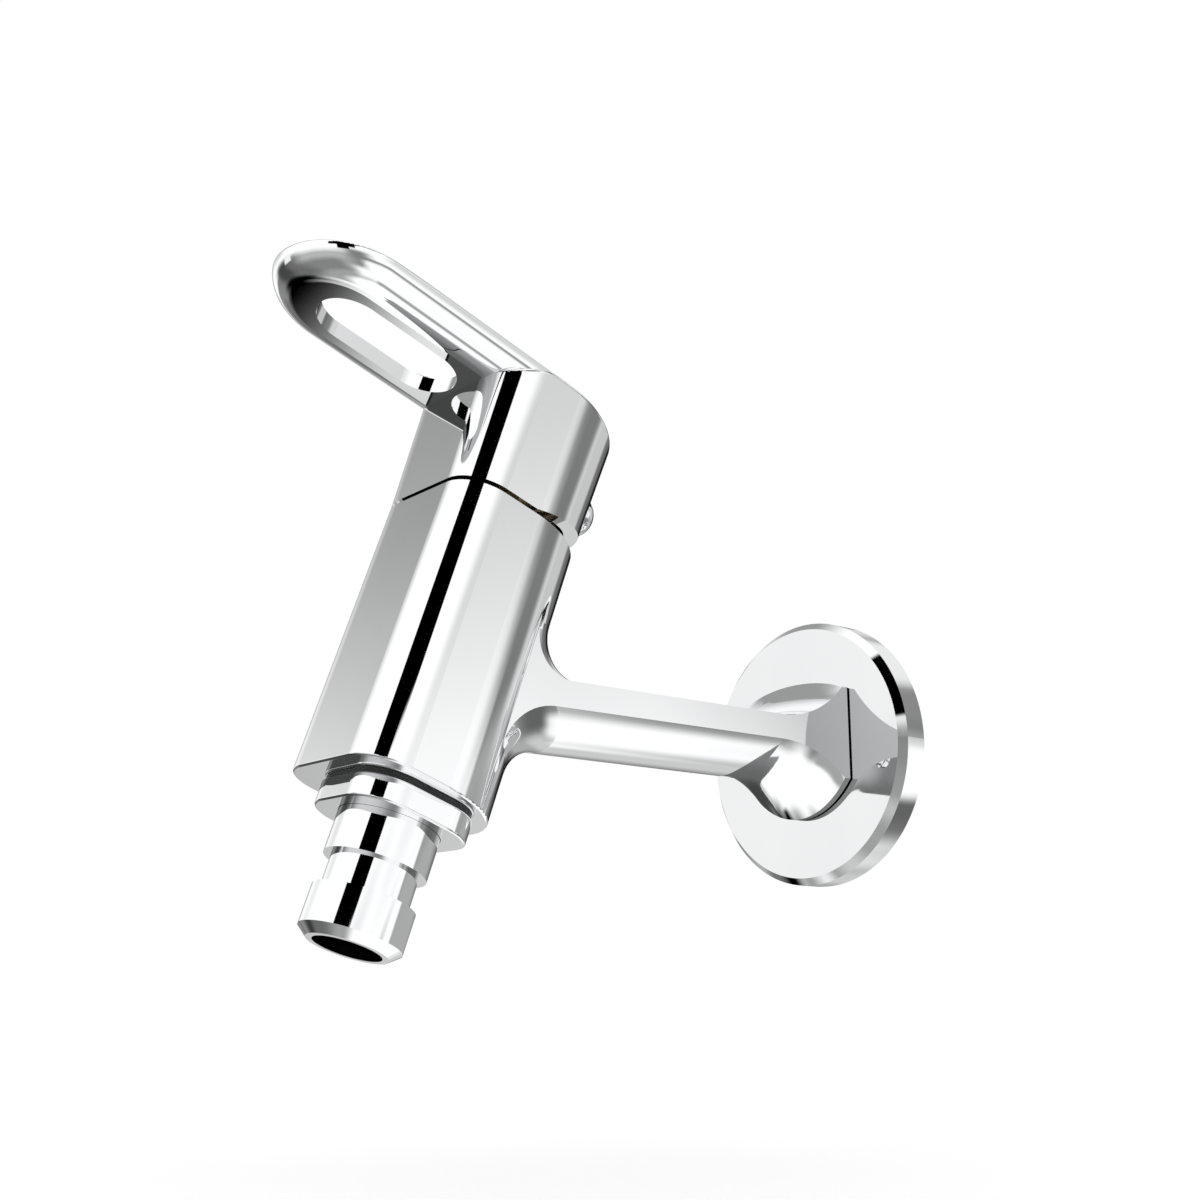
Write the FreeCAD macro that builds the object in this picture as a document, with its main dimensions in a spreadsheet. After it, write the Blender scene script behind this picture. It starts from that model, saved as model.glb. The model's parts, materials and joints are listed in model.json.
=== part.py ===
"""Wall hose bib: an inclined single-lever valve body on a horizontal arm, with a hose nozzle.

World frame, millimetres: the origin is where the inlet axis meets the wall, +Y goes into the
wall, +Z is up.  The valve column leans back by `tilt`; its pieces are drawn in a column frame
whose +Z runs up the column, -Y is the lever side, and whose origin is on the inlet axis.
"""
import FreeCAD, Part
import math
import os
import re
from FreeCAD import Placement, Rotation, Vector

SIZES = {
    # where the column stands
    "tilt": 19.4,
    "reach": 104.8,
    # column section: flat front and sides, half-round back
    "half_width": 17.0,
    "front_depth": 16.6,
    "back_depth": 16.7,
    "front_corner": 8.2,
    "edge_round": 0.4,
    "column_foot": -19.75,
    "column_top": 36.4,
    # wall end
    "thread_radius": 10.48,
    "thread_length": 16.5,
    "thread_chamfer": 1.0,
    "runout_radius": 9.6,
    "runout_width": 1.2,
    "flange_radius": 29.25,
    "flange_thick": 6.7,
    "flange_edge": 1.5,
    "flange_wall": 1.8,
    "flange_gap": 0.4,
    "hub_radius": 14.0,
    "flange_bore": 10.55,
    # arm and boss, heights measured from the inlet axis
    "arm_half": 14.4,
    "arm_top": 5.3,
    "arm_top_edge": 4.4,
    "arm_bottom": -7.2,
    "arm_bottom_edge": -0.8,
    "boss_top": 14.9,
    "boss_top_edge": 12.4,
    "boss_bottom": -15.1,
    "boss_bottom_edge": -7.4,
    "boss_land": 1.6,
    "flare_length": 18.5,
    "fillet_top": 8.0,
    "fillet_bottom": 13.0,
    "inlet_bore": 4.4,
    "strainer_bore": 7.6,
    "strainer_depth": 12.0,
    # valve chamber
    "seat_level": 6.0,
    "chamber_radius": 12.7,
    "chamber_top": 26.6,
    "nut_radius": 14.0,
    "port_radius": 2.4,
    "port_offset": 4.4,
    # outlet
    "socket_radius": 9.0,
    "socket_top": -6.5,
    "ring_top": -20.35,
    "ring_half": 12.4,
    "ring_corner": 8.0,
    "ring_bottom": -24.9,
    "nozzle_end": -47.9,
    "bead_chamfer": 1.6,
    "bead_top": -39.0,
    "collar_bottom": -32.9,
    "bead_radius": 9.54,
    "neck_radius": 8.1,
    "nozzle_bore": 6.42,
    # cartridge
    "base_top": 9.2,
    "fixed_top": 12.4,
    "moving_top": 15.2,
    "carrier_top": 21.4,
    "housing_radius": 12.5,
    "housing_wall": 1.5,
    "neck_outer": 9.4,
    "housing_top": 34.6,
    "pivot_level": 29.5,
    "drive_arm": 9.0,
    "pin_radius": 1.25,
    "ball_radius": 2.4,
    # lever
    "lift_angle": 14.0,
    "handle_foot": 37.3,
    "flare": 1.2,
    "crown": 67.6,
    "crown_fall": 0.0094,
    "crown_edge": 1.0,
    "blade_under": 59.65,
    "blade_top": 66.28,
    "blade_rim": 0.5,
    "blade_belly": 5.9,
    "blade_flat": 36.4,
    "blade_drop": 160.0,
    "blade_half": 15.6,
    "blade_tip": 59.95,
    "blade_wall": 2.0,
    "slot_wall": 3.2,
    "slot_radius": 7.35,
    "slot_near": 25.8,
    "slot_far": 41.9,
    "shell": 2.6,
    "screw_level": 51.0,
    "cap_radius": 4.4,
    "cap_proud": 3.0,
    "screw_radius": 2.5,
}

doc = FreeCAD.newDocument("hose_bib")
sheet = doc.addObject("Spreadsheet::Sheet", "Sizes")
for row, (alias, value) in enumerate(SIZES.items(), 1):
    sheet.set(f"A{row}", alias)
    sheet.set(f"B{row}", str(value))
    sheet.setAlias(f"B{row}", alias)
doc.recompute()


def size(alias):
    """Return a driving dimension from the sheet, in millimetres or degrees."""
    return float(sheet.get(alias))


def bound(text):
    """Turn 'bead_radius - 1' into an expression on the sheet's cells."""
    return re.sub(r"[a-z][a-z_]+", r"Sizes.\g<0>", text)


TILT = Rotation(Vector(1, 0, 0), -size("tilt"))
COLUMN = Placement(Vector(0, -size("reach"), 0), TILT)
WALL = Placement()
UP = Rotation()
INTO_WALL = Rotation(Vector(1, 0, 0), -90)
ACROSS = Rotation(Vector(0, 1, 0), 90)
pieces = []


def place(item, spot, turn):
    """Stand a primitive at a spot given as three expressions, turned by a rotation."""
    item.Placement = Placement(Vector(), turn)
    for axis, text in zip("xyz", spot):
        item.setExpression(f"Placement.Base.{axis}", bound(text))
    return item


def cylinder(name, radius, length, spot=("0", "0", "0"), turn=UP):
    item = doc.addObject("Part::Cylinder", name)
    item.setExpression("Radius", bound(radius))
    item.setExpression("Height", bound(length))
    return place(item, spot, turn)


def cone(name, radius_low, radius_high, length, spot=("0", "0", "0"), turn=UP):
    item = doc.addObject("Part::Cone", name)
    item.setExpression("Radius1", bound(radius_low))
    item.setExpression("Radius2", bound(radius_high))
    item.setExpression("Height", bound(length))
    return place(item, spot, turn)


def torus(name, radius, thickness, spot=("0", "0", "0"), turn=UP):
    item = doc.addObject("Part::Torus", name)
    item.setExpression("Radius1", bound(radius))
    item.setExpression("Radius2", bound(thickness))
    return place(item, spot, turn)


def sphere(name, radius, spot=("0", "0", "0")):
    item = doc.addObject("Part::Sphere", name)
    item.setExpression("Radius", bound(radius))
    return place(item, spot, UP)


def block(name, width, depth, height, centre_bottom, turn=UP):
    """A box centred in X and Y on centre_bottom and standing on it."""
    item = doc.addObject("Part::Box", name)
    item.setExpression("Length", bound(width))
    item.setExpression("Width", bound(depth))
    item.setExpression("Height", bound(height))
    x, y, z = centre_bottom
    spot = (f"{x} - ({width}) / 2", f"{y} - ({depth}) / 2", z)
    return place(item, spot, turn)


def ring(name, outer, inner, low, high):
    """A plain tube about the column axis between two levels."""
    wall = cylinder(name + "_wall", outer, f"{high} - ({low})", ("0", "0", low))
    bore = cylinder(name + "_bore", inner, f"{high} - ({low}) + 2", ("0", "0", f"{low} - 1"))
    return cut(name, wall, bore)


def fixed(name, shape):
    """A solid worked out with Part's functions from the sheet's sizes."""
    item = doc.addObject("Part::Feature", name)
    item.Shape = shape
    return item


def fuse(name, *items):
    item = doc.addObject("Part::MultiFuse", name)
    item.Shapes = list(items)
    item.Refine = True
    return item


def cut(name, base, *tools):
    item = doc.addObject("Part::Cut", name)
    item.Base = base
    item.Tool = tools[0] if len(tools) == 1 else fuse(name + "_tools", *tools)
    item.Refine = True
    return item


def common(name, base, tool):
    item = doc.addObject("Part::Common", name)
    item.Base = base
    item.Tool = tool
    item.Refine = True
    return item


def single(name, item):
    """Wrap one bound primitive, so that the wrapper can take the column's placement."""
    wrapper = doc.addObject("Part::Compound", name)
    wrapper.Links = [item]
    return wrapper


def finish(item, label, frame=COLUMN):
    """Register a finished piece under the name of its node."""
    item.Label = label
    item.Placement = frame
    pieces.append(item)
    return item


# ---------------------------------------------------------------- outlines

def column_outline(grow, level):
    """The column's section at a level, grown by `grow`: flat front, half-round back."""
    half = size("half_width") + grow
    front = -(size("front_depth") + grow)
    corner = size("front_corner") + grow
    centre = size("back_depth") - size("half_width")
    bend = corner * (1 - math.sqrt(0.5))

    def at(x, y):
        return Vector(x, y, level)

    def corner_arc(side):
        return Part.Arc(at(side * (half - corner), front), at(side * (half - bend), front + bend),
                        at(side * half, front + corner)).toShape()

    return Part.Wire(Part.__sortEdges__([
        Part.makeLine(at(corner - half, front), at(half - corner, front)),
        corner_arc(1),
        Part.makeLine(at(half, front + corner), at(half, centre)),
        Part.Arc(at(half, centre), at(0, centre + half), at(-half, centre)).toShape(),
        Part.makeLine(at(-half, centre), at(-half, front + corner)),
        corner_arc(-1),
    ]))


def rounded_square(half, corner, low, high):
    """A square block with rounded upright edges, centred on the column axis."""
    solid = Part.makeBox(2 * half, 2 * half, high - low, Vector(-half, -half, low))
    upright = [edge for edge in solid.Edges
               if abs(edge.Vertexes[0].Z - edge.Vertexes[1].Z) > (high - low) / 2]
    return solid.makeFillet(corner, upright)


def stadium(radius, near, far, low, high):
    """An upright slot-shaped block between two centres on the -Y side."""
    points = [Vector(radius, -near, low), Vector(0, radius - near, low), Vector(-radius, -near, low),
              Vector(-radius, -far, low), Vector(0, -far - radius, low), Vector(radius, -far, low)]
    wire = Part.Wire([
        Part.Arc(points[0], points[1], points[2]).toShape(),
        Part.makeLine(points[2], points[3]),
        Part.Arc(points[3], points[4], points[5]).toShape(),
        Part.makeLine(points[5], points[0]),
    ])
    return Part.Face(wire).extrude(Vector(0, 0, high - low))


def side_profile(points, span):
    """A block across the column with a side outline of (y, z) lines and three-point arcs."""
    edges = []
    for start, middle, end in points:
        first = Vector(-span, *start)
        last = Vector(-span, *end)
        if middle is None:
            edges.append(Part.makeLine(first, last))
        else:
            edges.append(Part.Arc(first, Vector(-span, *middle), last).toShape())
    return Part.Face(Part.Wire(edges)).extrude(Vector(2 * span, 0, 0))


def round_over(solid, radius, keep):
    """Fillet the edges of a solid for which keep(edge) holds."""
    return solid.makeFillet(radius, [edge for edge in solid.Edges if keep(edge)])


# ---------------------------------------------------------------- valve body casting

def arc_between(start, end, centre, radius):
    """The shorter arc from start to end about a centre."""
    middle = (start + end) * 0.5 - centre
    middle.normalize()
    return Part.Arc(start, centre + middle * radius, end).toShape()


def arm_profile(x):
    """Side outline of arm and boss at a distance x from the middle, from column to wall."""
    share = x / size("arm_half")
    bow = 1 - math.sqrt(1 - (0.72 * share) ** 2)
    bow = bow / (1 - math.sqrt(1 - 0.72 ** 2))

    def level(middle, edge):
        return size(middle) + (size(edge) - size(middle)) * bow

    top = level("arm_top", "arm_top_edge")
    bottom = level("arm_bottom", "arm_bottom_edge")
    boss_top = level("boss_top", "boss_top_edge")
    boss_bottom = level("boss_bottom", "boss_bottom_edge")
    lean = math.radians(size("tilt"))
    radius = size("half_width")
    centre = size("back_depth") - radius
    back = centre + math.sqrt(radius ** 2 - x ** 2)
    rear = -(size("flange_thick") + size("flange_gap"))
    land = rear - size("boss_land")
    flare = land - size("flare_length")

    def at(y, z):
        return Vector(x, y, z)

    def on_column(up):
        """The point of the column's back at a height above its foot point, in world Y and Z."""
        return at(-size("reach") + (back + up * math.sin(lean)) / math.cos(lean), up)

    def blend(height, sign, radius):
        """Tangent arc between the column's back line and a level line of the arm."""
        span = radius * math.tan(math.pi / 4 + sign * lean / 2)
        corner = on_column(height)
        along = Vector(0, math.sin(lean), math.cos(lean)) * sign
        first = corner + along * span
        last = corner + Vector(0, span, 0)
        centre_point = last + Vector(0, 0, sign * radius)
        return first, last, arc_between(first, last, centre_point, radius)

    def flare_arc(start, end):
        """Arc leaving the arm's level line at start and reaching end."""
        run = end.y - start.y
        rise = end.z - start.z
        radius = (run ** 2 + rise ** 2) / (2 * abs(rise))
        centre_point = start + Vector(0, 0, math.copysign(radius, rise))
        return arc_between(start, end, centre_point, radius)

    high_first, high_last, high_arc = blend(top, 1, size("fillet_top"))
    low_first, low_last, low_arc = blend(bottom, -1, size("fillet_bottom"))
    inner_high = high_first - Vector(0, back + 6, 0)
    inner_low = low_first - Vector(0, back + 6, 0)
    return Part.Wire([
        Part.makeLine(inner_high, high_first),
        high_arc,
        Part.makeLine(high_last, at(flare, top)),
        flare_arc(at(flare, top), at(land, boss_top)),
        Part.makeLine(at(land, boss_top), at(rear, boss_top)),
        Part.makeLine(at(rear, boss_top), at(rear, boss_bottom)),
        Part.makeLine(at(rear, boss_bottom), at(land, boss_bottom)),
        flare_arc(at(flare, bottom), at(land, boss_bottom)),
        Part.makeLine(at(flare, bottom), low_last),
        low_arc,
        Part.makeLine(low_first, inner_low),
        Part.makeLine(inner_low, inner_high),
    ])


def arm_blank():
    """Arm, boss and the blends into the column's back, lofted from side to side."""
    half = size("arm_half")
    slices = [-1, -0.8, -0.5, 0, 0.5, 0.8, 1]
    return Part.makeLoft([arm_profile(half * share) for share in slices], True, False)


def column_blank():
    """The upright prism of the column, its foot edge rounded."""
    low = size("column_foot")
    face = Part.Face(column_outline(0, low))
    solid = face.extrude(Vector(0, 0, size("column_top") - low))
    solid = round_over(solid, size("edge_round"), lambda edge: edge.BoundBox.ZMax < low + 0.01)
    solid.Placement = COLUMN
    return solid


def casting():
    """The one-piece brass body: column, arm, boss and threaded shank, with its waterways."""
    outer = column_blank().fuse([arm_blank()])
    shank_start = -(size("flange_thick") + size("flange_gap"))
    shank = Part.makeCylinder(size("thread_radius"), size("thread_length") - shank_start,
                              Vector(0, shank_start, 0), Vector(0, 1, 0))
    rim = [edge for edge in shank.Edges if edge.BoundBox.YMin > size("thread_length") - 0.1]
    shank = shank.makeChamfer(size("thread_chamfer"), rim)
    runout = Part.makeCylinder(size("thread_radius") + 1, size("runout_width"),
                               Vector(0, -size("runout_width"), 0), Vector(0, 1, 0))
    core = Part.makeCylinder(size("runout_radius"), size("runout_width"),
                             Vector(0, -size("runout_width"), 0), Vector(0, 1, 0))
    shank = shank.cut(runout.cut(core))
    return outer.fuse([shank]).removeSplitter()


def column_waterways():
    """Everything hollow about the column axis, as one tool in the column frame."""
    top = size("column_top")
    seat = size("seat_level")
    foot = size("column_foot")
    port = size("port_radius")
    offset = size("port_offset")
    chamber_top = size("chamber_top")
    socket_top = size("socket_top")
    nut_seat = Part.makeCylinder(size("nut_radius"), top - chamber_top + 1, Vector(0, 0, chamber_top))
    chamber = Part.makeCylinder(size("chamber_radius"), chamber_top - seat, Vector(0, 0, seat))
    rising = Part.makeCylinder(port, seat + 1.5, Vector(0, offset, -1))
    falling = Part.makeCylinder(port, seat - socket_top + 1, Vector(0, 0.4 - offset, socket_top - 0.5))
    socket = Part.makeCylinder(size("socket_radius"), socket_top - foot + 1, Vector(0, 0, foot - 1))
    tool = nut_seat.fuse([chamber, rising, falling, socket])
    tool.Placement = COLUMN
    return tool


def inlet_waterway():
    """The bore along the arm, from the strainer pocket to the rising port."""
    start = -size("reach") + size("port_offset") - 1
    level = size("arm_bottom") / 2 + size("arm_top") / 2
    bore = Part.makeCylinder(size("inlet_bore"), size("thread_length") - start + 1,
                             Vector(0, start, level), Vector(0, 1, 0))
    pocket = Part.makeCylinder(size("strainer_bore"), size("strainer_depth") + 1,
                               Vector(0, size("thread_length") - size("strainer_depth"), 0), Vector(0, 1, 0))
    return bore.fuse([pocket])


body_blank = fixed("casting_blank", casting())
column_hollow = fixed("column_hollow", column_waterways())
inlet_hollow = fixed("inlet_hollow", inlet_waterway())
finish(cut("tap_casting", body_blank, column_hollow, inlet_hollow), "tap_body", WALL)


# ---------------------------------------------------------------- wall end

def wall_flange():
    """A dished cover disc with a turned front edge and a hub that runs on the thread."""
    front = -size("flange_thick")
    wall = size("flange_wall")
    outer = size("flange_radius")
    edge = size("flange_edge")
    points = [(size("flange_bore"), front), (outer - edge, front), (outer, front + edge), (outer, 0),
              (outer - wall, 0), (outer - wall, front + wall), (size("hub_radius"), front + wall),
              (size("hub_radius"), -0.6), (size("flange_bore"), -0.6)]
    wire = Part.makePolygon([Vector(radius, y, 0) for radius, y in points + points[:1]])
    return Part.Face(wire).revolve(Vector(0, 0, 0), Vector(0, 1, 0), 360)


seal_pocket = cylinder("seal_pocket", "flange_bore + 2.1", "2.6", ("0", "-4.6", "0"), INTO_WALL)
finish(cut("flange_turned", fixed("flange_blank", wall_flange()), seal_pocket), "wall_flange", WALL)
seal_outer = cylinder("seal_outer", "flange_bore + 2.0", "2.2", ("0", "-4.4", "0"), INTO_WALL)
seal_inner = cylinder("seal_inner", "flange_bore - 0.02", "4", ("0", "-5.4", "0"), INTO_WALL)
finish(cut("seal_ring", seal_outer, seal_inner), "flange_seal", WALL)

cup = cylinder("strainer_cup", "strainer_bore - 0.05", "4", ("0", "thread_length - 4.4", "0"), INTO_WALL)
cup_hollow = cylinder("strainer_hollow", "strainer_bore - 1.2", "4",
                      ("0", "thread_length - 3.4", "0"), INTO_WALL)
mesh_holes = [
    cylinder(f"strainer_hole_{column}_{line}", "0.55", "3",
             (f"{column * 1.9}", "thread_length - 5.5", f"{line * 1.9}"), INTO_WALL)
    for column in range(-2, 3) for line in range(-2, 3) if column ** 2 + line ** 2 < 7
]
finish(cut("strainer", cup, cup_hollow, *mesh_holes), "inlet_strainer", WALL)

# ---------------------------------------------------------------- outlet

ring_prism = rounded_square(size("ring_half"), size("ring_corner"), size("ring_bottom"), size("ring_top"))
ring_blank = fixed("ring_blank", round_over(ring_prism, size("edge_round"),
                                            lambda edge: edge.BoundBox.ZLength < 0.01))
ring_bore = cylinder("ring_bore", "socket_radius - 0.3", "12", ("0", "0", "ring_bottom - 1"))
ring_seat = cylinder("ring_seat", "bead_radius + 0.1", "1.2", ("0", "0", "ring_bottom - 0.1"))
finish(cut("ring_cut", ring_blank, ring_bore, ring_seat), "outlet_ring")
gasket_blank = fixed("gasket_blank", rounded_square(size("ring_half") - 0.5, size("ring_corner") - 0.5,
                                                    size("ring_top"), size("column_foot")))
gasket_bore = cylinder("gasket_bore", "socket_radius - 0.2", "2", ("0", "0", "ring_top - 0.7"))
finish(cut("ring_gasket", gasket_blank, gasket_bore), "outlet_gasket")

spigot = cylinder("spigot", "socket_radius - 0.4", "socket_top - ring_bottom - 2.1",
                  ("0", "0", "ring_bottom + 1.1"))
collar = cylinder("collar", "bead_radius", "ring_bottom + 1.1 - collar_bottom", ("0", "0", "collar_bottom"))
neck = cylinder("neck", "neck_radius", "collar_bottom - bead_top + 1", ("0", "0", "bead_top - 0.5"))
bead = cylinder("bead", "bead_radius", "bead_top - nozzle_end - bead_chamfer",
                ("0", "0", "nozzle_end + bead_chamfer"))
lead_in = cone("bead_lead_in", "bead_radius - 1.9", "bead_radius", "bead_chamfer", ("0", "0", "nozzle_end"))
nozzle_way = cylinder("nozzle_way", "nozzle_bore", "socket_top - nozzle_end + 2",
                      ("0", "0", "nozzle_end - 1"))
spigot_groove = ring("spigot_groove", "socket_radius + 1", "socket_radius - 1.5",
                     "socket_top - 4.6", "socket_top - 2.8")
nozzle_solid = fuse("nozzle_solid", spigot, collar, neck, bead, lead_in)
finish(cut("nozzle_turned", nozzle_solid, nozzle_way, spigot_groove), "hose_nozzle")
spigot_seal = torus("spigot_seal", "socket_radius - 0.74", "0.72", ("0", "0", "socket_top - 3.7"))
finish(single("spigot_seal_set", spigot_seal), "nozzle_o_ring")

# ---------------------------------------------------------------- cartridge

base_disc = cylinder("base_disc", "housing_radius", "base_top - seat_level - 0.9",
                     ("0", "0", "seat_level + 0.9"))
inlet_port = cylinder("base_inlet", "port_radius - 0.4", "9", ("0", "port_offset", "seat_level - 2"))
outlet_port = cylinder("base_outlet", "port_radius - 0.4", "9", ("0", "-port_offset", "seat_level - 2"))
finish(cut("base_cut", base_disc, inlet_port, outlet_port), "cartridge_base")
seals = [torus(f"port_seal_{side}", "port_radius + 0.9", "0.45", ("0", offset, "seat_level + 0.45"))
         for side, offset in (("inlet", "port_offset"), ("outlet", "-port_offset"))]
finish(fuse("port_seal_pair", *seals), "port_seals")

fixed_plate = cylinder("fixed_plate", "housing_radius - housing_wall - 0.1", "fixed_top - base_top",
                       ("0", "0", "base_top"))
fixed_in = cylinder("fixed_in", "port_radius - 0.4", "9", ("0", "port_offset", "base_top - 2"))
fixed_out = cylinder("fixed_out", "port_radius - 0.4", "9", ("0", "-port_offset", "base_top - 2"))
finish(cut("fixed_cut", fixed_plate, fixed_in, fixed_out), "fixed_disc")

moving_plate = cylinder("moving_plate", "8.6", "moving_top - fixed_top - 0.02",
                        ("0", "0", "fixed_top + 0.02"))
moving_pocket = block("moving_pocket", "4.6", "8.8", "1.8", ("0", "2.2", "fixed_top - 0.2"))
moving_notch = block("moving_notch", "4", "3", "6", ("0", "9.4", "fixed_top + 1.4"))
finish(cut("moving_cut", moving_plate, moving_pocket, moving_notch), "moving_disc")
carrier_block = block("carrier_block", "10.4", "10.4", "carrier_top - moving_top",
                      ("0", "0", "moving_top"))
carrier_slot = cylinder("carrier_slot", "ball_radius + 0.08", "8", ("0", "0", "moving_top + 1.2"))
finish(cut("carrier_cut", carrier_block, carrier_slot), "disc_carrier")

housing_tube = cylinder("housing_tube", "housing_radius", "chamber_top - base_top", ("0", "0", "base_top"))
housing_neck = cylinder("housing_neck", "neck_outer", "housing_top - chamber_top + 1",
                        ("0", "0", "chamber_top - 1"))
housing_well = cylinder("housing_well", "housing_radius - housing_wall", "carrier_top - base_top + 1.6",
                        ("0", "0", "base_top - 1"))
housing_throat = cylinder("housing_throat", "7.6", "20", ("0", "0", "carrier_top"))
housing_groove = ring("housing_groove", "housing_radius + 1", "housing_radius - 0.9",
                      "seat_level + 17.2", "seat_level + 18.8")
pin_socket = cylinder("pin_socket", "pin_radius", "2 * neck_outer + 2",
                      ("-neck_outer - 1", "0", "pivot_level"), ACROSS)
housing_solid = fuse("housing_solid", housing_tube, housing_neck)
housing_tools = (housing_well, housing_throat, housing_groove, pin_socket)
finish(cut("housing_cut", housing_solid, *housing_tools), "cartridge_housing")
housing_seal = torus("housing_seal", "housing_radius - 0.34", "0.52", ("0", "0", "seat_level + 18"))
finish(single("housing_seal_set", housing_seal), "housing_o_ring")
pivot_rod = cylinder("pivot_rod", "pin_radius", "2 * neck_outer - 0.8",
                     ("0.4 - neck_outer", "0", "pivot_level"), ACROSS)
finish(single("pivot_rod_set", pivot_rod), "pivot_pin")

nut_ring = ring("nut_ring", "nut_radius", "neck_outer + 0.15", "chamber_top", "column_top - 2.2")
spanner_slots = [block("spanner_slot_y", "3.2", "40", "3", ("0", "0", "column_top - 4.4")),
                 block("spanner_slot_x", "40", "3.2", "3", ("0", "0", "column_top - 4.4"))]
finish(cut("nut_cut", nut_ring, *spanner_slots), "retaining_nut")

# ---------------------------------------------------------------- lever

stem_bar = block("stem_bar", "5", "5", "24.5", ("0", "0", "pivot_level + 1"))
stem_hub = cylinder("stem_hub", "3.6", "9", ("-4.5", "0", "pivot_level"), ACROSS)
stem_leg = cylinder("stem_leg", "1.7", "drive_arm", ("0", "0", "pivot_level - drive_arm"))
stem_ball = sphere("stem_ball", "ball_radius", ("0", "0", "pivot_level - drive_arm"))
stem_eye = cylinder("stem_eye", "pin_radius + 0.04", "12", ("-6", "0", "pivot_level"), ACROSS)
stem_solid = fuse("stem_solid", stem_bar, stem_hub, stem_leg, stem_ball)
finish(cut("stem_cut", stem_solid, stem_eye), "lever_stem")

bush_block = block("bush_block", "8", "8", "12.6", ("0", "0", "pivot_level + 13.4"))
bush_square = block("bush_square", "5", "5", "30", ("0", "0", "pivot_level + 1"))
bush_hole = cylinder("bush_hole", "screw_radius", "12", ("0", "0", "screw_level"), INTO_WALL)
finish(cut("bush_cut", bush_block, bush_square, bush_hole), "handle_bush")


def handle_cap():
    """The cap over the column: its walls flare a little and its top is crowned both ways."""
    foot = size("handle_foot")
    crown = size("crown")
    walls = Part.makeLoft([column_outline(0, foot), column_outline(size("flare"), crown + 1)], True, True)
    front, back = -19.5, 30.0
    # heights of the crown below its highest point, from the front of the cap to the back
    fall = [(front, 7.1), (-15.1, 4.2), (-11.5, 1.8), (-8.4, 0.4), (-4.5, 0.0),
            (0.0, 0.15), (5.3, 1.1), (10.0, 2.3), (14.0, 3.7), (19.5, 6.0)]

    def outline(x):
        peak = crown - size("crown_fall") * x * x
        arch = Part.BSplineCurve()
        arch.interpolate([Vector(x, y, peak - below) for y, below in fall])
        start, end = arch.StartPoint, arch.EndPoint
        corners = [end, Vector(x, back, end.z - 4), Vector(x, back, foot - 6),
                   Vector(x, front, foot - 6), start]
        sides = [Part.makeLine(a, b) for a, b in zip(corners, corners[1:])]
        return Part.Wire([arch.toShape()] + sides)

    stations = [-20, -15, -10, -5, 0, 5, 10, 15, 20]
    top = Part.makeLoft([outline(x) for x in stations], True, False)
    cap = walls.common(top).Solids[0]
    return round_over(cap, size("crown_edge"),
                      lambda edge: edge.BoundBox.ZMin > 52 and edge.BoundBox.ZLength < 16)


def handle_blade():
    """The lever blade: a round-ended dish on a full belly, its rim falling away at the tip."""
    under = size("blade_under")
    top = size("blade_top")
    half = size("blade_half")
    tip = size("blade_tip")
    wall = size("blade_wall")
    flat_end = -size("blade_flat")
    plan = stadium(half, 1.0, tip - half, under, top + 3)
    plan = round_over(plan, size("blade_belly"), lambda edge: edge.BoundBox.ZMax < under + 0.01)

    def on_arc(y):
        return y, top - (y - flat_end) ** 2 / (2 * size("blade_drop"))

    side = side_profile([
        ((6, 62.5), (0, 65.4), (-6, top)),
        ((-6, top), None, (flat_end, top)),
        ((flat_end, top), on_arc(-50), on_arc(-tip - 5)),
        (on_arc(-tip - 5), None, (-tip - 5, under - 6)),
        ((-tip - 5, under - 6), None, (6, under - 6)),
        ((6, under - 6), None, (6, 62.5)),
    ], 22)
    blade = plan.common(side)
    blade = round_over(blade, size("blade_rim"),
                       lambda edge: edge.BoundBox.ZMin > top - 2.6 and edge.BoundBox.YMax < 2)
    floor = under + size("slot_wall")
    dish = stadium(half - wall, half + 11.7, tip - half, floor, top + 3)
    dish = round_over(dish, size("blade_belly") - wall, lambda edge: edge.BoundBox.ZMax < floor + 0.01)
    return blade.cut(dish)


def handle_hollow():
    """The open space under the cap, its relieved back rim, and the blade's slot."""
    foot = size("handle_foot")
    shell = size("shell")
    roof = size("blade_under") - 4.2
    cavity = Part.makeLoft([column_outline(-shell, foot - 1), column_outline(-shell - 0.2, roof)], True, True)
    boss = Part.makeCylinder(7.6, roof - foot + 2, Vector(0, 0, foot + 4.6))
    rise = 30 * math.tan(math.radians(size("lift_angle") + 1.2))
    relief = side_profile([
        ((-1.0, foot), None, (29.0, foot + rise)),
        ((29.0, foot + rise), None, (29.0, foot - 2)),
        ((29.0, foot - 2), None, (-1.0, foot - 2)),
        ((-1.0, foot - 2), None, (-1.0, foot)),
    ], 40)
    slot = stadium(size("slot_radius"), size("slot_near"), size("slot_far"),
                   size("blade_under") - 1, size("blade_top") + 3)
    bush = Part.makeBox(8, 8, 16, Vector(-4, -4, size("pivot_level") + 10.1))
    screw = Part.makeCylinder(size("screw_radius"), 30, Vector(0, 0, size("screw_level")), Vector(0, 1, 0))
    button_start = Vector(0, size("back_depth") - 2.2, size("screw_level"))
    button = Part.makeCylinder(size("cap_radius") - 0.6, 4, button_start, Vector(0, 1, 0))
    return cavity.cut(boss).fuse([relief, slot, bush, screw, button])


def handle():
    """Cap and blade as one casting, hollowed out."""
    whole = handle_cap().fuse(handle_blade()).removeSplitter()
    return whole.cut(handle_hollow())


finish(fixed("handle_cast", handle()), "lever_handle")

grub = cylinder("grub", "screw_radius - 0.05", "6", ("0", "2.6", "screw_level"), INTO_WALL)
grub_key = block("grub_key", "1.8", "1.8", "3", ("0", "0", "0"))
grub_key.Placement = Placement(Vector(0, 7, size("screw_level")), INTO_WALL).multiply(grub_key.Placement)
finish(cut("grub_cut", grub, grub_key), "grub_screw")

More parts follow.
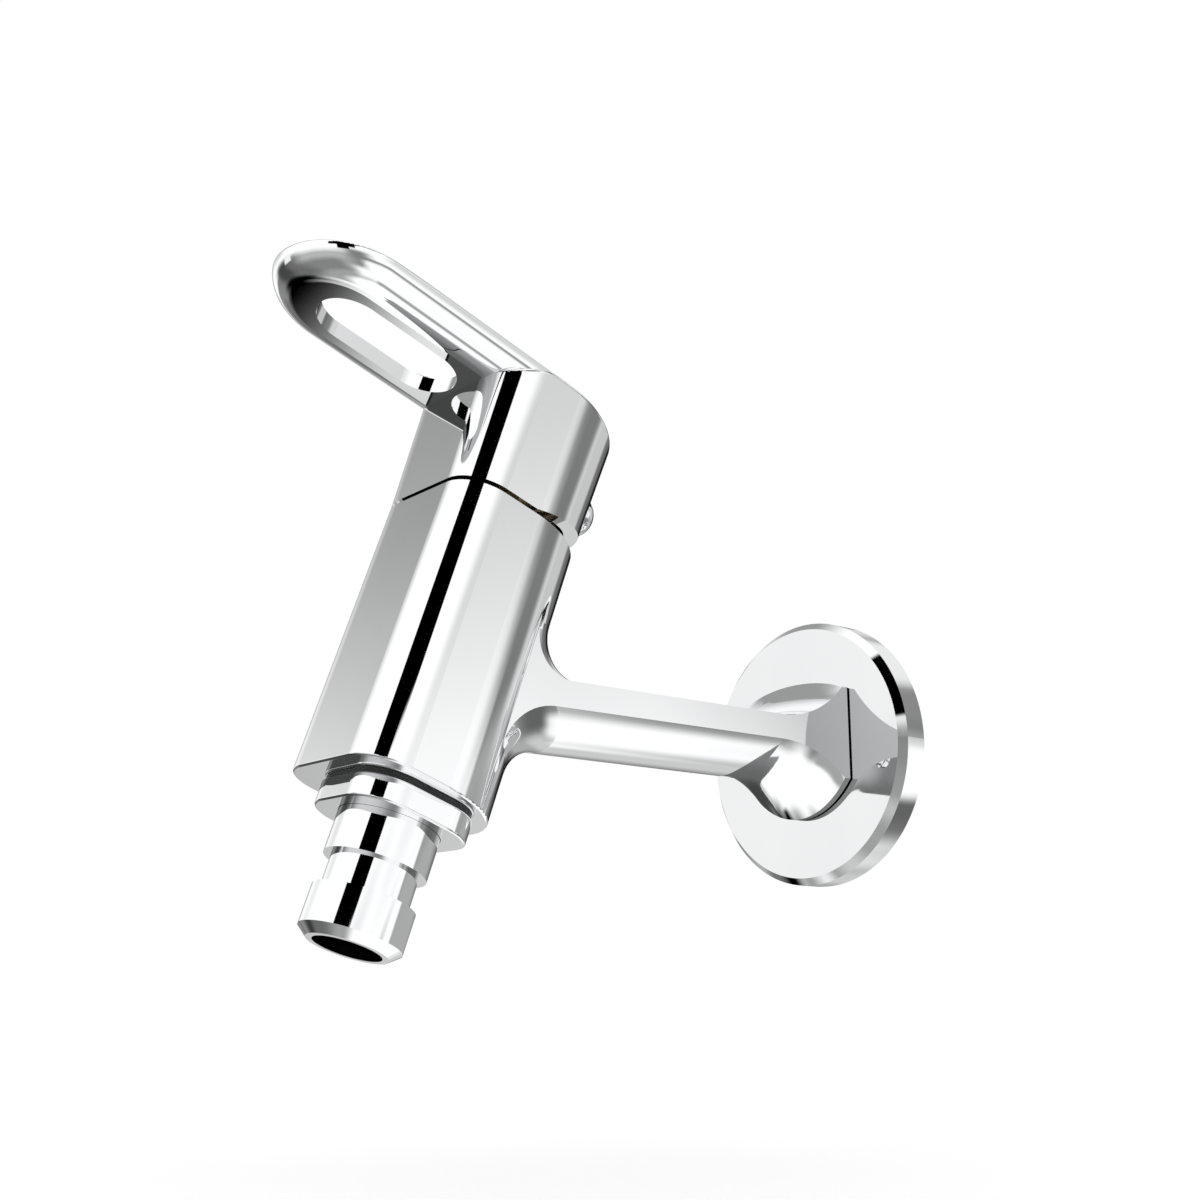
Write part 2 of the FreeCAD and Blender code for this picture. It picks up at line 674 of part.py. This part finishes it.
cap_face = "back_depth + flare + 0.3"
dome_radius = "(cap_radius ^ 2 + cap_proud ^ 2) / (2 * cap_proud)"
dome_ball = sphere("dome_ball", dome_radius,
                   ("0", f"{cap_face} + cap_proud - {dome_radius}", "screw_level"))
dome_front = cylinder("dome_front", "cap_radius", "6", ("0", cap_face, "screw_level"), INTO_WALL)
dome = common("dome", dome_ball, dome_front)
plug = cylinder("plug", "cap_radius - 0.7", "2.7", ("0", f"{cap_face} - 2.6", "screw_level"), INTO_WALL)
finish(fuse("button", dome, plug), "screw_cap")

# ---------------------------------------------------------------- checking and writing

doc.recompute()
for item in doc.Objects:
    if "Invalid" in item.State or "Error" in item.State:
        raise RuntimeError(f"{item.Name} failed: {item.State}")
os.makedirs("parts", exist_ok=True)
for item in pieces:
    shape = item.Shape
    if shape.isNull() or not shape.isValid() or not shape.Solids:
        raise RuntimeError(f"{item.Label} has no valid solid")
    shape.exportStep(f"parts/{item.Label}.step")
    print(f"{item.Label:20s} {len(shape.Solids)} solid(s) {shape.Volume:10.1f} mm3")
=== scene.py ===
"""Studio scene of the wall hose bib: finishes for its CAD pieces, the inlet thread's ridge, light and camera."""
import json
import math

import bpy
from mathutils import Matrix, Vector


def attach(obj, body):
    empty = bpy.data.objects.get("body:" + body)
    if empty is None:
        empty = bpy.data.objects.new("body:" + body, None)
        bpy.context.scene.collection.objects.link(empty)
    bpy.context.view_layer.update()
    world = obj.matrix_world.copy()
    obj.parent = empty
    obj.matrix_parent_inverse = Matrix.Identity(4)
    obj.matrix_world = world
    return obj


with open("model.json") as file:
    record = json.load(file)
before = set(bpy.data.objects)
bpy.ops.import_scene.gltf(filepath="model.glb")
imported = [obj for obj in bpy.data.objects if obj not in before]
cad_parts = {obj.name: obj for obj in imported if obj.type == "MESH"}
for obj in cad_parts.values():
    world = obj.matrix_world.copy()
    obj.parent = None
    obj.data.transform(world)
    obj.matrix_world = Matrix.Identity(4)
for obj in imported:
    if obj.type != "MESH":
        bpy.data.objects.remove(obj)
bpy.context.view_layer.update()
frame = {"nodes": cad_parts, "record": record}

MM = 0.001
nodes = frame["nodes"]

# The Mix node names its number, vector and colour sockets alike, so the colour ones are picked by index.
MIX_FIRST_COLOUR, MIX_SECOND_COLOUR, MIX_RESULT_COLOUR = 6, 7, 2


# ---------------------------------------------------------------- material helpers

class Graph:
    """A material's node tree with a few short calls."""

    def __init__(self, name):
        self.material = bpy.data.materials.new(name)
        self.material.use_nodes = True
        self.tree = self.material.node_tree
        self.shader = self.tree.nodes["Principled BSDF"]
        self.where = self.add("ShaderNodeTexCoord").outputs["Object"]

    def add(self, kind, **values):
        node = self.tree.nodes.new(kind)
        for key, value in values.items():
            setattr(node, key, value)
        return node

    def link(self, source, target):
        self.tree.links.new(source, target)

    def noise(self, scale, detail, stretch=(1, 1, 1)):
        mapping = self.add("ShaderNodeMapping")
        mapping.inputs["Scale"].default_value = stretch
        self.link(self.where, mapping.inputs["Vector"])
        texture = self.add("ShaderNodeTexNoise")
        texture.inputs["Scale"].default_value = scale
        texture.inputs["Detail"].default_value = detail
        self.link(mapping.outputs["Vector"], texture.inputs["Vector"])
        return texture.outputs["Fac"]

    def ramp(self, source, low, high, low_value, high_value):
        """Rescale low..high to low_value..high_value, clamped."""
        node = self.add("ShaderNodeMapRange")
        limits = {"From Min": low, "From Max": high, "To Min": low_value, "To Max": high_value}
        for key, value in limits.items():
            node.inputs[key].default_value = value
        self.link(source, node.inputs["Value"])
        return node.outputs["Result"]

    def tint(self, factor, first, second):
        """Blend two colours into the shader's base colour."""
        node = self.add("ShaderNodeMix", data_type="RGBA")
        node.inputs[MIX_FIRST_COLOUR].default_value = (*first, 1)
        node.inputs[MIX_SECOND_COLOUR].default_value = (*second, 1)
        self.link(factor, node.inputs["Factor"])
        self.link(node.outputs[MIX_RESULT_COLOUR], self.shader.inputs["Base Color"])

    def bump(self, height, strength, distance, before=None):
        """Bump the shader's normal on top of an earlier bump, if there is one."""
        node = self.add("ShaderNodeBump")
        node.inputs["Strength"].default_value = strength
        node.inputs["Distance"].default_value = distance
        self.link(height, node.inputs["Height"])
        if before is not None:
            self.link(before, node.inputs["Normal"])
        self.link(node.outputs["Normal"], self.shader.inputs["Normal"])
        return node.outputs["Normal"]

    def set(self, **values):
        for key, value in values.items():
            self.shader.inputs[key.replace("_", " ")].default_value = value


def plated(name, light, dark, roughness, peel):
    """Chrome plate: faint cloudiness in colour and gloss, orange peel and fine wiping marks."""
    cloud_scale, wipe_scale, peel_scale = 38, 420, 260
    peel_depth, wipe_depth = 0.02 * MM, 0.006 * MM
    graph = Graph(name)
    graph.set(Metallic=1.0)
    graph.tint(graph.ramp(graph.noise(cloud_scale, 4), 0.35, 0.65, 0, 1), dark, light)
    wipe = graph.noise(wipe_scale, 2, (1, 0.06, 1))
    gloss = graph.ramp(wipe, 0.3, 0.7, roughness * 0.75, roughness * 1.3)
    graph.link(gloss, graph.shader.inputs["Roughness"])
    soft = graph.bump(graph.noise(peel_scale, 2), peel, peel_depth)
    graph.bump(wipe, peel * 0.4, wipe_depth, soft)
    return graph.material


def moulded(name, light, dark, roughness, grain_scale=1800, depth=0.03 * MM, sheen=0.0):
    """A moulded or pressed surface with grain, colour drift and uneven gloss."""
    drift_scale = 90
    graph = Graph(name)
    graph.set(Sheen_Weight=sheen)
    graph.tint(graph.ramp(graph.noise(drift_scale, 4), 0.35, 0.65, 0, 1), dark, light)
    grain = graph.noise(grain_scale, 3)
    gloss = graph.ramp(grain, 0.3, 0.7, roughness * 0.85, roughness * 1.15)
    graph.link(gloss, graph.shader.inputs["Roughness"])
    graph.bump(grain, 0.5, depth)
    return graph.material


def turned(name, light, dark, roughness):
    """Bare machined metal: fine tool rings and a patchy tarnish."""
    tarnish_scale, ring_scale, ring_depth = 150, 1400, 0.02 * MM
    graph = Graph(name)
    graph.set(Metallic=1.0)
    graph.tint(graph.ramp(graph.noise(tarnish_scale, 5), 0.4, 0.62, 0, 1), dark, light)
    rings = graph.noise(ring_scale, 1, (0.02, 0.02, 1))
    gloss = graph.ramp(rings, 0.3, 0.7, roughness * 0.8, roughness * 1.3)
    graph.link(gloss, graph.shader.inputs["Roughness"])
    graph.bump(rings, 0.35, ring_depth)
    return graph.material


FINISH = {
    "chromed_brass": plated("chromed_brass", (0.93, 0.935, 0.94), (0.9, 0.905, 0.912), 0.035, 0.05),
    "chromed_handle": plated("chromed_handle", (0.935, 0.94, 0.945), (0.905, 0.91, 0.917), 0.03, 0.04),
    "chromed_cap": plated("chromed_cap", (0.9, 0.905, 0.915), (0.86, 0.865, 0.875), 0.06, 0.08),
    "black_rubber": moulded("black_rubber", (0.022, 0.022, 0.023), (0.012, 0.012, 0.012), 0.55, sheen=0.2),
    "strainer_plastic": moulded("strainer_plastic", (0.72, 0.75, 0.78), (0.63, 0.66, 0.7), 0.4),
    "cartridge_plastic": moulded("cartridge_plastic", (0.82, 0.82, 0.76), (0.74, 0.74, 0.68), 0.45),
    "ceramic_disc": moulded("ceramic_disc", (0.92, 0.91, 0.88), (0.87, 0.86, 0.83), 0.12,
                            grain_scale=2600, depth=0.006 * MM),
    "stainless_pin": turned("stainless_pin", (0.66, 0.66, 0.67), (0.52, 0.52, 0.53), 0.25),
    "plain_brass": turned("plain_brass", (0.42, 0.3, 0.13), (0.24, 0.17, 0.08), 0.4),
    "bush_plastic": moulded("bush_plastic", (0.05, 0.05, 0.053), (0.03, 0.03, 0.032), 0.35),
}
for row in frame["record"]["subparts"]:
    target = nodes[row["node"]]
    target.data.materials.clear()
    target.data.materials.append(FINISH[row["material_slot"]])


# ---------------------------------------------------------------- inlet thread

THREAD_PITCH = 1.814 * MM
THREAD_HEIGHT = 0.24 * MM
THREAD_START = 6.4 * MM
RIDGE_HALF_WIDTH = 0.42 * THREAD_PITCH
RIDGE_SINK = 0.01 * MM
STEPS_PER_TURN = 48


def thread_ridge(name, radius, start, length):
    """A helical V ridge round the +Y axis that fades out in the last quarter turn at both ends."""
    turns = length / THREAD_PITCH
    count = round(turns * STEPS_PER_TURN)
    points = []
    for step in range(count + 1):
        share = step / count
        turn = 2 * math.pi * turns * share
        along = start + length * share
        rise = THREAD_HEIGHT * min(1, 4 * turns * share, 4 * turns * (1 - share))
        for offset, reach in ((-RIDGE_HALF_WIDTH, -RIDGE_SINK), (0, rise), (RIDGE_HALF_WIDTH, -RIDGE_SINK)):
            distance = radius + reach
            points.append((distance * math.cos(turn), along + offset, distance * math.sin(turn)))
    faces = []
    for step in range(count):
        row = 3 * step
        for side in (0, 1):
            faces.append((row + side, row + side + 1, row + side + 4, row + side + 3))
    mesh = bpy.data.meshes.new(name)
    mesh.from_pydata(points, [], faces)
    mesh.materials.append(FINISH["chromed_brass"])
    piece = bpy.data.objects.new(name, mesh)
    bpy.context.scene.collection.objects.link(piece)
    return piece


# The ridge starts past the 6 mm that the flange slides along the shank.
inlet = next(row for row in frame["record"]["mounts"] if row["name"] == "inlet_thread")
ridge = thread_ridge("inlet_thread_ridge", inlet["dims"]["r_mm"] * MM, THREAD_START,
                     inlet["dims"]["length_mm"] * MM - THREAD_START)
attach(ridge, "body")


# ---------------------------------------------------------------- studio

def aim(azimuth, elevation):
    """Unit vector for a compass direction about the tap: 0 along +Y, 90 along -X."""
    turn = math.radians(azimuth)
    rise = math.radians(elevation)
    return Vector((-math.sin(turn) * math.cos(rise), math.cos(turn) * math.cos(rise), math.sin(rise)))


# The studio's panels as seen from the tap: azimuth from, to and edge softness, elevation from, to
# and edge softness, all in degrees, then the panel's brightness on a display scale of 0 to 255.
# Later panels stand in front of earlier ones.
ALL_ROUND = (-180, 180, 0)
PANELS = {
    "floor_far": (*ALL_ROUND, -90, 0, 3, 135),
    "floor_near": (*ALL_ROUND, -90, -66, 6, 255),
    "rear_white": (-116, -62, 9, -62, -8, 5, 255),
    "rear_low": (-150, -62, 12, -62, -34, 8, 252),
    "rear_grey": (-142, -106, 14, -8, 17, 8, 125),
    "low_grey": (-105, -48, 6, -68, -58, 3, 160),
    "left_haze": (118, 222, 14, -60, 6, 12, 178),
    "left_low": (112, 214, 16, -54, -18, 10, 128),
    "left_dark": (106, 150, 14, -48, 10, 8, 104),
    "left_black": (97, 119, 7, -47, -24, 5, 0),
    "left_core": (110, 130, 6, -28, 8, 8, 70),
    "floor_middle": (-32, 118, 10, -90, -53, 8, 255),
    "floor_right": (-8, 92, 10, -90, -36, 7, 255),
    "side_low": (22, 75, 12, -36, -12, 9, 198),
    "dark_low": (-40, 14, 10, -40, -16, 8, 98),
    "right_horizon": (-34, 46, 8, -12, 0, 4, 168),
    "right_band": (-112, -66, 10, 44, 66, 5, 96),
    "upper_haze": (-58, 50, 8, 20, 75, 4, 212),
    "right_wall": (-75, -38, 14, 12, 26, 8, 206),
    "right_grey": (-44, -12, 7, 10, 36, 5, 134),
    "right_low": (-40, -12, 9, 0, 18, 5, 120),
    "right_dark": (-25, -13, 4, 14, 33, 4, 92),
    "back_light": (-11, 10, 5, 2, 19, 3, 192),
    "back_grey": (11, 32, 7, -2, 24, 4, 108),
    "back_dark": (27, 53, 5, -1, 20, 4, 32),
    "upper_dark": (-20, 28, 8, 22, 36, 4, 110),
    "upper_light": (-30, 30, 8, 37, 46, 3, 232),
    "upper_black": (-28, 14, 6, 49, 60, 4, 40),
    "front_grey": (58, 116, 12, 24, 66, 12, 150),
    "front_middle": (60, 84, 8, 2, 28, 5, 178),
    "soft_window": (-50, -33, 3, -27, 4, 4, 255),
    "floor_bright": (40, 70, 6, -90, -31, 4, 255),
    "wedge_grey": (76, 92, 3, -32, -12, 2.5, 112),
    "wedge_dark": (82.7, 112, 3, -42, -29, 4, 6),
    "front_white": (129, 141, 2, -1, 16, 2, 238),
    "flag_left": (-161, -147, 0.6, 26, 66, 1.5, 0),
    "flag_middle": (-148, -131, 0.6, 14, 66, 1.5, 0),
    "flag_right": (-132, -122, 0.6, 23, 66, 1.5, 0),
    "flag_edge": (-123, -115.5, 0.6, 30, 66, 1.5, 0),
}
WHITE_LEVEL = 1.1
DISPLAY_WHITE = 255
DISPLAY_GAMMA = 2.2

world = bpy.data.worlds.new("studio")
bpy.context.scene.world = world
world.use_nodes = True
sky = world.node_tree


def sky_math(operation, *inputs):
    """One step of arithmetic on numbers and sockets."""
    node = sky.nodes.new("ShaderNodeMath")
    node.operation = operation
    for socket, value in zip(node.inputs, inputs):
        if isinstance(value, (int, float)):
            socket.default_value = value
        else:
            sky.links.new(value, socket)
    return node.outputs[0]


def sky_rise(source, edge, softness):
    """Smooth step from 0 to 1 across an edge."""
    node = sky.nodes.new("ShaderNodeMapRange")
    node.interpolation_type = "SMOOTHSTEP"
    node.inputs["From Min"].default_value = edge - softness
    node.inputs["From Max"].default_value = edge + softness
    sky.links.new(source, node.inputs["Value"])
    return node.outputs["Result"]


# Only what the tap mirrors comes from the panels. Everything else sees plain white.
split = sky.nodes.new("ShaderNodeSeparateXYZ")
sky.links.new(sky.nodes.new("ShaderNodeTexCoord").outputs["Generated"], split.inputs[0])
leftward = sky_math("MULTIPLY", split.outputs["X"], -1)
azimuth = sky_math("MULTIPLY", sky_math("ARCTAN2", leftward, split.outputs["Y"]), math.degrees(1))
elevation = sky_math("MULTIPLY", sky_math("ARCSINE", split.outputs["Z"]), math.degrees(1))
level = None
for low, high, side_soft, bottom, top, level_soft, grey in PANELS.values():
    mask = sky_math("SUBTRACT", 1, sky_rise(elevation, top, level_soft))
    if bottom > -90:
        mask = sky_math("MULTIPLY", mask, sky_rise(elevation, bottom, level_soft))
    if high - low < 360:
        offset = sky_math("WRAP", sky_math("SUBTRACT", azimuth, (low + high) / 2), 180, -180)
        outside = sky_rise(sky_math("ABSOLUTE", offset), (high - low) / 2, side_soft)
        mask = sky_math("MULTIPLY", mask, sky_math("SUBTRACT", 1, outside))
    blend = sky.nodes.new("ShaderNodeMix")
    blend.inputs["A"].default_value = 1
    sky.links.new(mask, blend.inputs["Factor"])
    if level is not None:
        sky.links.new(level, blend.inputs["A"])
    blend.inputs["B"].default_value = (grey / DISPLAY_WHITE) ** DISPLAY_GAMMA
    level = blend.outputs[0]
panelled = sky.nodes["Background"]
panelled.inputs["Strength"].default_value = WHITE_LEVEL
sky.links.new(level, panelled.inputs["Color"])
plain = sky.nodes.new("ShaderNodeBackground")
plain.inputs["Color"].default_value = (1, 1, 1, 1)
choice = sky.nodes.new("ShaderNodeMixShader")
sky.links.new(sky.nodes.new("ShaderNodeLightPath").outputs["Is Glossy Ray"], choice.inputs[0])
sky.links.new(plain.outputs[0], choice.inputs[1])
sky.links.new(panelled.outputs[0], choice.inputs[2])
sky.links.new(choice.outputs[0], sky.nodes["World Output"].inputs["Surface"])
world.cycles.sampling_method = "NONE"

FLOOR_LEVEL = -0.085
FLOOR_HALF = 9
corners = ((-1, -1), (1, -1), (1, 1), (-1, 1))
floor_mesh = bpy.data.meshes.new("floor")
floor_mesh.from_pydata([(FLOOR_HALF * x, FLOOR_HALF * y, FLOOR_LEVEL) for x, y in corners], [], [(0, 1, 2, 3)])
floor = bpy.data.objects.new("floor", floor_mesh)
bpy.context.scene.collection.objects.link(floor)
floor.visible_glossy = False
pale = Graph("pale_floor")
pale.set(Roughness=0.9, Specular_IOR_Level=0.1, Emission_Strength=0.12)
pale.shader.inputs["Emission Color"].default_value = (1, 1, 1, 1)
pale.tint(pale.noise(3, 2), (0.93, 0.93, 0.93), (0.95, 0.95, 0.95))
floor_mesh.materials.append(pale.material)


# ---------------------------------------------------------------- camera

CAMERA_PLACE = (0.2467, -0.2638, -0.0544)
CAMERA_AZIMUTH = 51.08
CAMERA_ELEVATION = 14.2

camera_data = bpy.data.cameras.new("camera")
camera_data.lens = 47.9
camera_data.sensor_width = 36
camera_data.clip_start = 0.005
camera = bpy.data.objects.new("camera", camera_data)
bpy.context.scene.collection.objects.link(camera)
camera.location = CAMERA_PLACE
camera.rotation_euler = aim(CAMERA_AZIMUTH, CAMERA_ELEVATION).to_track_quat("-Z", "Y").to_euler()
bpy.context.scene.camera = camera
bpy.context.scene.view_settings.view_transform = "Standard"
